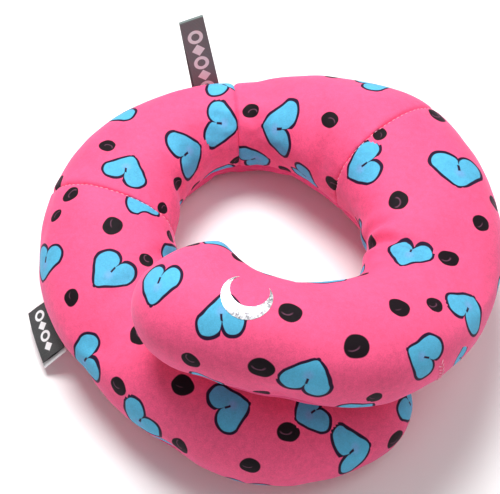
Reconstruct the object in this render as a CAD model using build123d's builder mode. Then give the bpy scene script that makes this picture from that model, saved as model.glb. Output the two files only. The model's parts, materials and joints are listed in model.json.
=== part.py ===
from build123d import *
import os
from collections import namedtuple
from math import asin, copysign, cos, degrees, radians, sin, sqrt

os.makedirs("parts", exist_ok=True)

# A stuffed tube wraps once round a neck and a bit more: its left arm lies on the table across
# the front and its right arm climbs over it. +Z is up, +Y is the back of the neck, and the
# origin is the middle of the neck opening on the table. Wrap angles run from the centre back
# seam, to -X on the left arm and to +X on the right arm. Millimetres and degrees.

ring_radius = 94        # centre line of the tube, before each station's own offset
cloth = 1.0             # thickness of the cover
floor_flat = 2          # depth by which the stuffing flattens on the table
stack_gap = 4           # from the lower arm to the arm above it
roundness = 2.2         # power of the tube's section, 2 being an ellipse
joint_gap = 0.3         # between the pieces on the two sides of a bend
left_seam_wrap = 66     # seam between the back and the left arm
right_seam_wrap = 58    # seam between the back and the right arm
bend_after_seam = 60    # from an arm's seam to where the arm bends
left_end_wrap = 221
right_end_wrap = 228
tip_length = 36         # rounded end of an arm, along the tube
seam_drop = 0.42        # the side seams lie this share of half the height below the middle

section_step = 15       # degrees of wrap between the sections of the loft
tip_shares = (0.62, 0.34, 0.14, 0.03)   # sections in the rounded end, as shares of its length left
outline_step = 45       # degrees between the points of a section's outline

Station = namedtuple("Station", "wrap offset width height underside")

back_width = 48
back_height = 60
side_height = 68        # lower arm at the side of the neck
front_height = 63       # lower arm under the crossing
low_tip_height = 48     # lower arm near its end


def resting(wrap, offset, width, height):
    """A station whose stuffing lies flat on the table."""
    return Station(wrap, offset, width, height + floor_flat, -floor_flat)


# The lower arm and its half of the back lie on the table.
left_stations = [
    resting(0, 4, back_width, back_height),
    resting(30, -1, 62, 63),
    resting(60, -7, 78, 65),
    resting(90, -11, 77, side_height),
    resting(120, -12, 70, 66),
    resting(150, -4, 67, side_height),
    resting(180, 5, 75, front_height),
    resting(205, 8, 68, low_tip_height),
]

# The upper arm leaves the table behind the right shoulder and rests on the lower one.
right_stations = [
    resting(0, 4, back_width, back_height),
    Station(30, 2, 61, 70, 4),
    Station(60, 6, 78, 80, 6),
    Station(90, 8, 76, 71, 15),
    Station(120, 8, 75, 62, 31),
    Station(150, 6, 74, 66, low_tip_height + stack_gap),
    Station(180, -6, 61, 65, front_height + stack_gap),
    Station(204, -17, 70, 62, side_height + stack_gap),
]

ribbon_width = 15
ribbon_length = 73      # hang loop, from its seam to its fold
ribbon_thick = 0.8
ribbon_gap = 1.4        # between its two plies
ribbon_wrap = 6.5       # left of the centre back seam
ribbon_lean = 14        # away from the neck
ribbon_tilt = 6         # to the left

label_width = 34        # side label, along the seam
label_reach = 16
label_ply = 0.35
label_gap = 0.2
label_wrap = 102.5
label_droop = 38        # below level
care_reach = 17
care_thick = 0.3
care_shift = 2          # towards the front, past the side label

badge_size = 26         # foil moon on the upper arm
badge_thick = 0.15
badge_bite = 4          # offset of the circle that makes the crescent
badge_inset = 3         # by which that circle is smaller
badge_wrap = 186

stitch_wrap = 136       # hand-closed end of the stuffing slit
stitch_pitch = 3
stitch_count = 5
stitch_thread = 0.7
stitch_span = 5
stitch_slant = 0.6      # sideways for each 1 up
stitch_reach = 12       # deep enough to meet the cover between stations

pivot_clearance = 3     # from the cover's outside to the line an arm bends about
trim_gap = 0.3          # trim stands this far off the cover it is sewn to
far = 400               # larger than the pillow


def radial(side, wrap):
    return Vector(side * sin(radians(wrap)), cos(radians(wrap)), 0)


def radial_plane(side, wrap):
    out = radial(side, wrap)
    return Plane(origin=(0, 0, 0), x_dir=out, z_dir=out.cross(Vector(0, 0, 1)))


def slope_at(stations, index, field):
    """How fast a size changes at a station, flat at a peak so that nothing overshoots."""
    if index in (0, len(stations) - 1):
        return 0
    before, here, after = stations[index - 1:index + 2]
    rise_in = (here[field] - before[field]) / (here.wrap - before.wrap)
    rise_out = (after[field] - here[field]) / (after.wrap - here.wrap)
    return 0 if rise_in * rise_out <= 0 else 2 * rise_in * rise_out / (rise_in + rise_out)


def station_at(stations, wrap):
    """The tube's section at any wrap, smoothly between its stations."""
    index = max(i for i, s in enumerate(stations[:-1]) if s.wrap <= wrap)
    low, high = stations[index], stations[index + 1]
    span = high.wrap - low.wrap
    t = min((wrap - low.wrap) / span, 1)
    sizes = [wrap]
    for field in range(1, 5):
        start, end = slope_at(stations, index, field) * span, slope_at(stations, index + 1, field) * span
        sizes.append(
            low[field] * (1 + 2 * t) * (1 - t) ** 2 + high[field] * t * t * (3 - 2 * t)
            + start * t * (1 - t) ** 2 - end * t * t * (1 - t)
        )
    return Station(*sizes)


def tube_stations(stations, end_wrap):
    """Even sections along the tube, then its rounded end, which shrinks along a quarter circle."""
    last = stations[-1]
    tip_wrap = degrees(tip_length / (ring_radius + last.offset))
    body_end = end_wrap - tip_wrap
    steps = round(body_end / section_step)
    rows = [station_at(stations, body_end * step / steps) for step in range(steps + 1)]
    for share in tip_shares:
        whole = station_at(stations, end_wrap - tip_wrap * share)
        size = sqrt(1 - (1 - share) ** 2)
        rise = whole.underside + whole.height * (1 - size) / 2
        rows.append(Station(whole.wrap, whole.offset, whole.width * size, whole.height * size, rise))
    return rows


def middle(station):
    """Centre of a station's section on its radial plane, and half its sizes."""
    half_height = station.height / 2
    centre = ring_radius + station.offset
    return centre, station.underside + half_height, station.width / 2, half_height


def outline_point(station, angle, inset):
    x, z, half_width, half_height = middle(station)
    c, s = cos(radians(angle)), sin(radians(angle))
    across = copysign(abs(c) ** (2 / roundness), c) * (half_width - inset)
    up = copysign(abs(s) ** (2 / roundness), s) * (half_height - inset)
    return x + across, z + up


def tube(side, stations, end_wrap, inset):
    """One half of the pillow as a solid, the cover's outside drawn in by inset."""
    with BuildPart() as half:
        faces = []
        for station in tube_stations(stations, end_wrap):
            points = [outline_point(station, angle, inset) for angle in range(0, 360, outline_step)]
            with BuildSketch(radial_plane(side, station.wrap)) as section:
                with BuildLine():
                    Spline(*points, periodic=True)
                make_face()
            faces.append(section.sketch.face())
        loft(faces)
        with Locations((0, 0, inset)):
            Box(2 * far, 2 * far, far, align=(Align.CENTER, Align.CENTER, Align.MIN), mode=Mode.INTERSECT)
    return half.part


def below_seams(side, stations, end_wrap):
    """The space under the two side seams, which the base of the cover takes."""
    with BuildPart() as space:
        faces = []
        for station in tube_stations(stations, end_wrap):
            x, z, half_width, half_height = middle(station)
            with BuildSketch(radial_plane(side, station.wrap)) as section:
                with Locations((x, z - seam_drop * half_height)):
                    Rectangle(1.5 * ring_radius, ring_radius, align=(Align.CENTER, Align.MAX))
            faces.append(section.sketch.face())
        loft(faces)
    return space.part


def film(thickness):
    """A layer of even thickness lying on the upper arm's cover."""
    return tube(1, right_stations, right_end_wrap, -thickness) - tube(1, right_stations, right_end_wrap, 0)


def sector(side, start, end):
    """A pie slice of space between two wrap angles, as tall as the pillow."""
    middle_wrap = (start + end) / 2
    corners = [Vector(0, 0, 0)] + [radial(side, wrap) * far for wrap in (start, middle_wrap, end)]
    with BuildPart() as slice_part:
        with BuildSketch(Plane.XY.offset(-far / 2)):
            with BuildLine():
                Polyline(*corners, close=True)
            make_face()
        extrude(amount=far)
    return slice_part.part


def slit(side, wrap):
    """The gap that a bend needs between the pieces it joins."""
    with BuildPart() as cut:
        with BuildSketch(radial_plane(side, wrap)):
            Rectangle(far, far, align=(Align.MIN, Align.CENTER))
        extrude(amount=joint_gap / 2, both=True)
    return cut.part


def make_half(side, name, stations, seam_wrap, end_wrap):
    """Cover and stuffing of one half, cut at its seam and at its bend."""
    bend_wrap = seam_wrap + bend_after_seam
    outer = tube(side, stations, end_wrap, 0)
    fill = tube(side, stations, end_wrap, cloth)
    cover = outer - fill
    low = below_seams(side, stations, end_wrap)
    layers = {"panel": cover - low, "base": cover & low, "fill": fill}
    gaps = slit(side, seam_wrap) + slit(side, bend_wrap)
    spans = {
        "back": sector(side, 0, seam_wrap),
        f"{name}_arm": sector(side, seam_wrap, bend_wrap),
        f"{name}_tip": sector(side, bend_wrap, end_wrap + bend_after_seam / 2),
    }
    return {
        f"{span}_{layer}": (solid & space) - gaps
        for span, space in spans.items()
        for layer, solid in layers.items()
    }


def save(part, name):
    part.label = name
    export_step(part, f"parts/{name}.step")


left = make_half(-1, "left", left_stations, left_seam_wrap, left_end_wrap)
right = make_half(1, "right", right_stations, right_seam_wrap, right_end_wrap)

for half in (left, right):
    for name, part in half.items():
        if not name.startswith("back"):
            save(part, name)

# The back has two upper panels, sewn together at its middle, over one base and one stuffing.
save(left["back_panel"], "back_left_panel")
save(right["back_panel"], "back_right_panel")
save(left["back_base"] + right["back_base"], "back_base")
save(left["back_fill"] + right["back_fill"], "back_fill")


def outer_seam(side, stations, wrap):
    """A point on the outer side seam, the way up the cover from it, and the way off the cover."""
    station = station_at(stations, wrap)
    seam_angle = -degrees(asin(seam_drop ** (roundness / 2)))
    points = []
    for angle in (seam_angle - 4, seam_angle, seam_angle + 4):
        x, z = outline_point(station, angle, 0)
        points.append(radial(side, wrap) * x + Vector(0, 0, z))
    upward = (points[2] - points[0]).normalized()
    level = radial(side, wrap)
    off = (level - upward * level.dot(upward)).normalized()
    return points[1], upward, off


def trim_plane(root, along, reach):
    """Plane for a flat trim's profile: x is its thickness, y its reach, and z runs along the seam."""
    return Plane(origin=root, x_dir=reach.cross(along), z_dir=along)


def folded(plane, width, length, ply, gap):
    """A ribbon folded in two: both plies and the round fold at their far end."""
    outside = ply + gap / 2
    inside = gap / 2
    with BuildPart() as piece:
        with BuildSketch(plane):
            with BuildLine():
                Line((-outside, 0), (-outside, length - outside))
                ThreePointArc((-outside, length - outside), (0, length), (outside, length - outside))
                Line((outside, length - outside), (outside, 0))
                Line((outside, 0), (inside, 0))
                Line((inside, 0), (inside, length - outside))
                ThreePointArc((inside, length - outside), (0, length - ply), (-inside, length - outside))
                Line((-inside, length - outside), (-inside, 0))
                Line((-inside, 0), (-outside, 0))
            make_face()
        extrude(amount=width / 2, both=True)
    return piece.part


# Hang loop: one ribbon folded over and sewn in beside the centre back seam.
root, upward, off = outer_seam(-1, left_stations, ribbon_wrap)
out = radial(-1, ribbon_wrap)
leftward = radial(-1, ribbon_wrap + 90)
upright = Vector(0, 0, 1) * cos(radians(ribbon_lean)) + out * sin(radians(ribbon_lean))
reach = upright * cos(radians(ribbon_tilt)) + leftward * sin(radians(ribbon_tilt))
across = leftward * cos(radians(ribbon_tilt)) - upright * sin(radians(ribbon_tilt))
loop_root = root + out * (trim_gap + ribbon_thick + ribbon_gap)
loop_plane = trim_plane(loop_root, across, reach)
save(folded(loop_plane, ribbon_width, ribbon_length, ribbon_thick, ribbon_gap), "hang_loop")

# Side label, folded over, with the thin care label under it.
root, upward, off = outer_seam(-1, left_stations, label_wrap)
out = radial(-1, label_wrap)
forward = radial(-1, label_wrap + 90)
reach = out * cos(radians(label_droop)) - Vector(0, 0, 1) * sin(radians(label_droop))
label_root = root + out * (trim_gap + label_ply)
label_plane = trim_plane(label_root, forward, reach)
save(folded(label_plane, label_width, label_reach, label_ply, label_gap), "side_label")
under = reach.cross(forward).normalized()
under = under if under.Z < 0 else under * -1
care_root = label_root + under * (label_ply + label_gap / 2 + care_thick / 2) + forward * care_shift
with BuildPart() as care_label:
    with BuildSketch(trim_plane(care_root, forward, reach)):
        Rectangle(care_thick, care_reach, align=(Align.CENTER, Align.MIN))
    extrude(amount=label_width / 2, both=True)
save(care_label.part, "care_label")

# Foil moon printed on the top of the upper arm.
badge_station = station_at(right_stations, badge_wrap)
moon_middle = radial(1, badge_wrap) * (ring_radius + badge_station.offset)
with BuildPart() as moon:
    with BuildSketch(Plane.XY.offset(badge_station.underside + badge_station.height / 2)):
        with Locations((moon_middle.X, moon_middle.Y)):
            Circle(badge_size / 2)
            with Locations((badge_bite, badge_bite)):
                Circle(badge_size / 2 - badge_inset, mode=Mode.SUBTRACT)
    extrude(amount=badge_station.height)
save(film(badge_thick) & moon.part, "foil_moon")

# Hand stitches that close the slit where the arm was stuffed, lying on the cover across its seam.
thread_layer = film(stitch_thread)
stitches = []
for number in range(stitch_count):
    wrap = stitch_wrap + degrees(number * stitch_pitch / (ring_radius + badge_station.offset))
    root, upward, off = outer_seam(1, right_stations, wrap)
    slope = upward + radial(1, wrap + 90) * (stitch_slant if number % 2 else -stitch_slant)
    with BuildPart(Plane(origin=root, x_dir=off, z_dir=slope)) as stitch:
        Box(stitch_reach, stitch_thread, stitch_span)
    stitches.append((thread_layer & stitch.part).solid())
save(Compound(stitches), "closing_stitch")

for side, stations, seam_wrap in ((-1, left_stations, left_seam_wrap), (1, right_stations, right_seam_wrap)):
    for wrap in (seam_wrap, seam_wrap + bend_after_seam):
        station = station_at(stations, wrap)
        pivot = radial(side, wrap) * (ring_radius + station.offset + station.width / 2 + pivot_clearance)
        print(f"bend at wrap {side * wrap}: pivot {pivot.X:.1f} {pivot.Y:.1f}")
print("hang loop root", loop_root, "across", across)
print("label root", label_root, "forward", forward)
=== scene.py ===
import json
import math

import bmesh
import bpy
import numpy as np
from mathutils import Matrix, Vector, noise
from mathutils.bvhtree import BVHTree

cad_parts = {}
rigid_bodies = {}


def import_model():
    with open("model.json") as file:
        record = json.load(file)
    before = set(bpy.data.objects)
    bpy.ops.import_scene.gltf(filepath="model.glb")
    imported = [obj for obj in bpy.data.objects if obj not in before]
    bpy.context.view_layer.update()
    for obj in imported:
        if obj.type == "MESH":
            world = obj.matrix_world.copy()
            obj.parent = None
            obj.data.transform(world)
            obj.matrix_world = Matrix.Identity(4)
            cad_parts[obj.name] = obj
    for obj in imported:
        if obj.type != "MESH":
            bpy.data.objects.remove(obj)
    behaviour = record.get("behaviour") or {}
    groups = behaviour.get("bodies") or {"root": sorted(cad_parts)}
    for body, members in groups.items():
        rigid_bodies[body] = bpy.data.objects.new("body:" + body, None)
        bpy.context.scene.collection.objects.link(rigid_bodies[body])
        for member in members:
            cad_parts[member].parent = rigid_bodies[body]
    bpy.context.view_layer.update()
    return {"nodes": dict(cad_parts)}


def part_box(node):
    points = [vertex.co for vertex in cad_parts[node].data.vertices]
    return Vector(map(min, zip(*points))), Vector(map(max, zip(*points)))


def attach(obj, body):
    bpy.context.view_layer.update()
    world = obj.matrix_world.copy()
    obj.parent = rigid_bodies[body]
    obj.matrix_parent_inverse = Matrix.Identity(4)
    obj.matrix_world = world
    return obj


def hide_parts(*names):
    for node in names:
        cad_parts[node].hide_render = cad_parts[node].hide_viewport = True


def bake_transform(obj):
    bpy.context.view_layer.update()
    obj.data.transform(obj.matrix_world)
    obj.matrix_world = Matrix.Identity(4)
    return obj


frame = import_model()
mm = 0.001


def paint(red, green, blue):
    # a linear colour from everyday 0-255 values
    def linear(value):
        value /= 255
        return value / 12.92 if value <= 0.04045 else ((value + 0.055) / 1.055) ** 2.4

    return (linear(red), linear(green), linear(blue), 1)


# Shader building: a Wires object adds nodes to one tree and joins their sockets.
class Wires:
    def __init__(self, tree):
        self.tree = tree

    def add(self, kind, **settings):
        node = self.tree.nodes.new(kind)
        for name, value in settings.items():
            setattr(node, name, value)
        return node

    def feed(self, socket, value):
        if isinstance(value, bpy.types.NodeSocket):
            self.tree.links.new(value, socket)
        else:
            socket.default_value = value

    def maths(self, operation, first, second=None, third=None, clamp=False):
        node = self.add("ShaderNodeMath", operation=operation, use_clamp=clamp)
        for index, value in enumerate((first, second, third)):
            if value is not None:
                self.feed(node.inputs[index], value)
        return node.outputs[0]

    def plus(self, first, second):
        return self.maths("ADD", first, second)

    def minus(self, first, second):
        return self.maths("SUBTRACT", first, second)

    def times(self, first, second):
        return self.maths("MULTIPLY", first, second)

    def vector(self, operation, first, second=None, scale=None):
        node = self.add("ShaderNodeVectorMath", operation=operation)
        self.feed(node.inputs[0], first)
        if second is not None:
            self.feed(node.inputs[1], second)
        if scale is not None:
            self.feed(node.inputs["Scale"], scale)
        return node.outputs["Value"] if operation in ("LENGTH", "DOT_PRODUCT") else node.outputs[0]

    def split(self, vector):
        node = self.add("ShaderNodeSeparateXYZ")
        self.feed(node.inputs[0], vector)
        return node.outputs[0], node.outputs[1], node.outputs[2]

    def join(self, x, y, z=0.0):
        node = self.add("ShaderNodeCombineXYZ")
        for index, value in enumerate((x, y, z)):
            self.feed(node.inputs[index], value)
        return node.outputs[0]

    def mask(self, value, low, high):
        # 1 below low, 0 above high, smooth between
        node = self.add("ShaderNodeMapRange", interpolation_type="SMOOTHSTEP")
        self.feed(node.inputs["Value"], value)
        self.feed(node.inputs["From Min"], low)
        self.feed(node.inputs["From Max"], high)
        node.inputs["To Min"].default_value = 1
        node.inputs["To Max"].default_value = 0
        return node.outputs[0]

    def mix(self, share, first, second, kind="MIX"):
        node = self.add("ShaderNodeMix", data_type="RGBA", blend_type=kind)
        self.feed(node.inputs["Factor"], share)
        self.feed(node.inputs["A"], first)
        self.feed(node.inputs["B"], second)
        return node.outputs["Result"]

    def speckle(self, vector, scale, detail=2.0, rough=0.5):
        node = self.add("ShaderNodeTexNoise")
        self.feed(node.inputs["Vector"], vector)
        self.feed(node.inputs["Scale"], scale)
        node.inputs["Detail"].default_value = detail
        node.inputs["Roughness"].default_value = rough
        return node


def newGroup(name, inputs, outputs):
    tree = bpy.data.node_groups.new(name, "ShaderNodeTree")
    for label, kind, value in inputs:
        socket = tree.interface.new_socket(name=label, in_out="INPUT", socket_type=kind)
        socket.default_value = value
    for label, kind in outputs:
        tree.interface.new_socket(name=label, in_out="OUTPUT", socket_type=kind)
    wires = Wires(tree)
    return tree, wires, wires.add("NodeGroupInput").outputs, wires.add("NodeGroupOutput").inputs


def newMaterial(name):
    material = bpy.data.materials.new(name)
    material.use_nodes = True
    wires = Wires(material.node_tree)
    return material, wires, material.node_tree.nodes["Principled BSDF"].inputs


def useGroup(wires, group, **values):
    node = wires.add("ShaderNodeGroup", node_tree=group)
    for name, value in values.items():
        wires.feed(node.inputs[name], value)
    return node.outputs


def bumped(wires, height, distance, strength=1.0):
    node = wires.add("ShaderNodeBump")
    node.inputs["Distance"].default_value = distance
    node.inputs["Strength"].default_value = strength
    wires.feed(node.inputs["Height"], height)
    return node.outputs[0]


# The cover: one tube from end to end, swollen by cloth simulation, then parted into its panels

cover = dict(
    ring=94,              # mm, centre line of the tube before each station's own offset
    roundness=2.2,        # power of the section's outline, 2 is an ellipse
    tipLength=36,         # mm over which an end rounds off
    leftSeam=66, rightSeam=58,          # degrees round the neck from the middle of the back
    leftEnd=225, rightEnd=229,
    seamLow=-22.65, seamHigh=202.65,    # degrees round the section, outer and inner side seam
    rowStep=3.1,          # degrees
    topColumns=34, baseColumns=18,
    slack=1.6,            # mm that the cut cloth starts inside its full shape
    tuck=1.5,             # mm by which a seam is drawn in further
    pressure=4.0, growth=0.02, frames=20, cap=5.0,
    sag=2.2,              # mm by which the upper arm's underside hangs
    rounds=2,             # subdivisions
)
# wrap, offset, width, height, underside: the CAD's stations, fuller by a few mm in places
leftStations = np.array([
    (0, 4.5, 49, 63, -2), (30, -0.5, 63, 66, -2), (60, -7, 80, 67, -2), (90, -12.5, 81, 70, -2),
    (120, -12.5, 72, 68, -2), (150, -4, 67.5, 70, -2), (180, 7, 78, 65, -2), (207, 9.5, 73, 51, -2),
], float)
rightStations = np.array([
    (0, 4.5, 49, 63, -2), (30, 2.5, 63, 72, 4), (60, 8, 82, 81, 6), (90, 9.5, 80, 73, 15),
    (120, 9, 76, 63, 31), (150, 7, 75, 66, 52), (180, -6, 63, 66, 66), (206, -17, 73, 63, 71),
], float)


def smoothStation(stations, wrap):
    # even curve through the stations, without overshoot
    gaps = np.diff(stations[:, 0])
    rates = np.diff(stations[:, 1:], axis=0) / gaps[:, None]
    slopes = np.zeros_like(stations[:, 1:])
    before, after = rates[:-1], rates[1:]
    same = before * after > 0
    slopes[1:-1] = np.where(same, 2 * before * after / np.where(same, before + after, 1), 0)
    index = int(np.clip(np.searchsorted(stations[:, 0], wrap, side="right") - 1, 0, len(gaps) - 1))
    t = min((wrap - stations[index, 0]) / gaps[index], 1)
    low, high = stations[index, 1:], stations[index + 1, 1:]
    rise, fall = slopes[index] * gaps[index], slopes[index + 1] * gaps[index]
    return (low * (1 + 2 * t) * (1 - t) ** 2 + high * t * t * (3 - 2 * t)
            + rise * t * (1 - t) ** 2 - fall * t * t * (1 - t))


def sectionAt(signedWrap):
    # centre radius, centre height, half width and half height in mm, rounded off near an end
    side = -1 if signedWrap < 0 else 1
    stations, end = (leftStations, cover["leftEnd"]) if side < 0 else (rightStations, cover["rightEnd"])
    wrap = abs(signedWrap)
    offset, width, height, underside = smoothStation(stations, wrap)
    tipWrap = math.degrees(cover["tipLength"] / (cover["ring"] + stations[-1, 1]))
    share = (end - wrap) / tipWrap
    size = math.sqrt(max(1 - (1 - share) ** 2, 0)) if share < 1 else 1.0
    return cover["ring"] + offset, underside + height / 2, width / 2 * size, height / 2 * size


def smooth(value, low, high):
    t = np.clip((value - low) / (high - low), 0, 1)
    return t * t * (3 - 2 * t)


def rowWraps():
    rows = []
    for side, seam, end, stations in (
        (-1, cover["leftSeam"], cover["leftEnd"], leftStations),
        (1, cover["rightSeam"], cover["rightEnd"], rightStations),
    ):
        tipWrap = math.degrees(cover["tipLength"] / (cover["ring"] + stations[-1, 1]))
        near = 1.1
        marks = [near, seam - near, seam + near, end - tipWrap]
        some = [0.0]
        for low, high in ((marks[0], marks[1]), (marks[2], marks[3])):
            count = max(2, round((high - low) / cover["rowStep"]))
            some += list(np.linspace(low, high, count + 1))
        some.insert(some.index(marks[1]) + 1, float(seam))
        some += [end - tipWrap * s for s in (0.86, 0.72, 0.58, 0.46, 0.35, 0.25, 0.165, 0.095, 0.045, 0.012)]
        rows += [side * wrap for wrap in some]
    return np.array(sorted(set(rows)))


def columnAngles():
    low, high, near = cover["seamLow"], cover["seamHigh"], 3.0
    top = [low, low + near, *np.linspace(low + near, high - near, cover["topColumns"] - 1)[1:-1], high - near]
    back = low + 360 - near
    base = [high, high + near, *np.linspace(high + near, back, cover["baseColumns"] - 1)[1:-1], back]
    return np.array(top + base), len(top)


def tubePoint(signedWrap, angle, inset):
    centre, height, halfWidth, halfHeight = sectionAt(signedWrap)
    c, s = math.cos(math.radians(angle)), math.sin(math.radians(angle))
    power = 2 / cover["roundness"]
    small = min(1.0, halfWidth / 12)
    x = centre + math.copysign(abs(c) ** power, c) * (halfWidth - inset * small)
    z = height + math.copysign(abs(s) ** power, s) * (halfHeight - inset * small)
    turn = math.radians(signedWrap)
    return math.sin(turn) * x, math.cos(turn) * x, max(z, inset)


def buildTube():
    wraps, (angles, topCount) = rowWraps(), columnAngles()
    rows, columns = len(wraps), len(angles)
    points = np.zeros((rows, columns, 3))
    atSeam = np.zeros((rows, columns), bool)
    for i, wrap in enumerate(wraps):
        for j, angle in enumerate(angles):
            onSide = j in (0, topCount)
            onBack = abs(wrap) < 1e-6 and j <= topCount
            atSeam[i, j] = onSide or onBack or wrap in (-cover["leftSeam"], cover["rightSeam"])
            inset = cover["slack"] + (cover["tuck"] if atSeam[i, j] else 0)
            points[i, j] = tubePoint(wrap, angle, inset)
    full = np.array([[tubePoint(w, a, 0) for a in angles] for w in wraps])
    steps = np.linalg.norm(np.roll(full, -1, axis=1) - full, axis=2)
    length = np.concatenate([np.zeros((rows, 1)), np.cumsum(steps, axis=1)[:, :-1]], axis=1)
    topLine = np.array([np.interp(90, angles[:topCount + 1], length[i, :topCount + 1]) for i in range(rows)])
    around = length - topLine[:, None]
    poles = []
    for i, end in ((0, -cover["leftEnd"]), (rows - 1, cover["rightEnd"])):
        centre, height, _, _ = sectionAt(end)
        turn = math.radians(end)
        poles.append((math.sin(turn) * centre, math.cos(turn) * centre, height))
    vertices = np.concatenate([points.reshape(-1, 3), np.array(poles)]) * mm
    faces, slots = [], []
    for i in range(rows - 1):
        middle = (wraps[i] + wraps[i + 1]) / 2
        if middle < 0:
            part = 2 if middle < -cover["leftSeam"] else 0
        else:
            part = 1 if middle < cover["rightSeam"] else 3
        for j in range(columns):
            k = (j + 1) % columns
            faces.append((i * columns + j, (i + 1) * columns + j, (i + 1) * columns + k, i * columns + k))
            slots.append(part if j < topCount else part + 4)
    for j in range(columns):
        k = (j + 1) % columns
        faces.append((rows * columns, j, k))
        slots.append(2 if j < topCount else 6)
        last = (rows - 1) * columns
        faces.append((rows * columns + 1, last + k, last + j))
        slots.append(3 if j < topCount else 7)
    mesh = bpy.data.meshes.new("cover")
    mesh.from_pydata([tuple(v) for v in vertices], [], faces)
    mesh.polygons.foreach_set("material_index", slots)
    data = dict(
        wrap=np.append(np.repeat(wraps, columns), [wraps[0], wraps[-1]]),
        around=np.append(around.reshape(-1), [0, 0]),
        seam=np.append(atSeam.reshape(-1), [False, False]).astype(float),
    )
    for name, values in data.items():
        mesh.attributes.new(name, "FLOAT", "POINT").data.foreach_set("value", values.astype(np.float32))
    tube = bpy.data.objects.new("cover", mesh)
    bpy.context.collection.objects.link(tube)
    work = bmesh.new()
    work.from_mesh(mesh)
    bmesh.ops.recalc_face_normals(work, faces=work.faces[:])
    work.to_mesh(mesh)
    work.free()
    return tube


def alone(thing):
    bpy.ops.object.select_all(action="DESELECT")
    thing.select_set(True)
    bpy.context.view_layer.objects.active = thing


def readPoints(mesh):
    values = np.empty(len(mesh.vertices) * 3)
    mesh.vertices.foreach_get("co", values)
    return values.reshape(-1, 3)


def writePoints(mesh, points):
    mesh.vertices.foreach_set("co", np.asarray(points, float).reshape(-1))
    mesh.update()


def readValues(mesh, name):
    values = np.empty(len(mesh.vertices), np.float32)
    mesh.attributes[name].data.foreach_get("value", values)
    return values.astype(float)


def readNormals(mesh):
    values = np.empty(len(mesh.vertices) * 3, np.float32)
    mesh.vertex_normals.foreach_get("vector", values)
    return values.reshape(-1, 3).astype(float)


def swell(tube):
    # the filling pushes the cloth out while its seams hold
    start = readPoints(tube.data)
    seam = readValues(tube.data, "seam")
    wrap = readValues(tube.data, "wrap")
    held = tube.vertex_groups.new(name="held")
    low = start[:, 2] < 3.0 * mm
    # where one arm lies over the other, the cloth has less room to swell
    crossing = (np.abs(wrap) > 118) & (np.abs(wrap) < 226)
    for index in np.nonzero((seam > 0.5) | low)[0]:
        held.add([int(index)], 1.0, "REPLACE")
    alone(tube)
    modifier = tube.modifiers.new("swell", "CLOTH")
    cloth = modifier.settings
    cloth.quality = 6
    cloth.mass = 0.2
    cloth.tension_stiffness = 12
    cloth.compression_stiffness = 12
    cloth.shear_stiffness = 4
    cloth.bending_stiffness = 0.4
    cloth.use_pressure = True
    cloth.uniform_pressure_force = cover["pressure"]
    cloth.shrink_min = -cover["growth"]
    cloth.vertex_group_mass = "held"
    cloth.effector_weights.gravity = 0
    scene = bpy.context.scene
    scene.frame_start = 1
    scene.frame_end = cover["frames"]
    for number in range(1, cover["frames"] + 1):
        scene.frame_set(number)
    shaped = tube.evaluated_get(bpy.context.evaluated_depsgraph_get())
    swollen = readPoints(shaped.to_mesh())
    shaped.to_mesh_clear()
    tube.modifiers.remove(modifier)
    scene.frame_set(1)
    move = swollen - start
    size = np.linalg.norm(move, axis=1)
    median, most = (round(float(value) * 1000, 2) for value in (np.median(size), size.max()))
    print("cloth moved", median, "mm, most", most, "mm")
    cap = np.where(crossing, 0.6, 1.0) * cover["cap"] * mm
    move *= np.minimum(1, cap / np.maximum(size, 1e-9))[:, None]
    points = start + move
    points[:, 2] = np.maximum(points[:, 2], 0.0)
    writePoints(tube.data, points)


print("building the cover")
tube = buildTube()
swell(tube)
print("cover swollen")

# wrap, around, depth, width, reach, slant: soft folds, mm and degrees
creases = [
    dict(wrap=107, around=34, depth=3.0, width=3.2, reach=44, slant=-0.12),
    dict(wrap=99, around=48, depth=2.2, width=3.0, reach=30, slant=0.05),
    dict(wrap=31, around=10, depth=1.1, width=4.5, reach=26, slant=0.0),
    dict(wrap=44, around=44, depth=1.0, width=4.0, reach=24, slant=0.1),
    dict(wrap=9, around=44, depth=0.8, width=4.0, reach=20, slant=0.0),
    dict(wrap=-13, around=42, depth=0.8, width=4.0, reach=22, slant=0.0),
    dict(wrap=-32, around=12, depth=1.2, width=4.5, reach=30, slant=0.1),
    dict(wrap=-40, around=46, depth=1.8, width=4.0, reach=30, slant=-0.1),
    dict(wrap=-98, around=44, depth=1.6, width=4.0, reach=30, slant=0.1),
    dict(wrap=-118, around=40, depth=1.4, width=3.6, reach=28, slant=-0.1),
]


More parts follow.
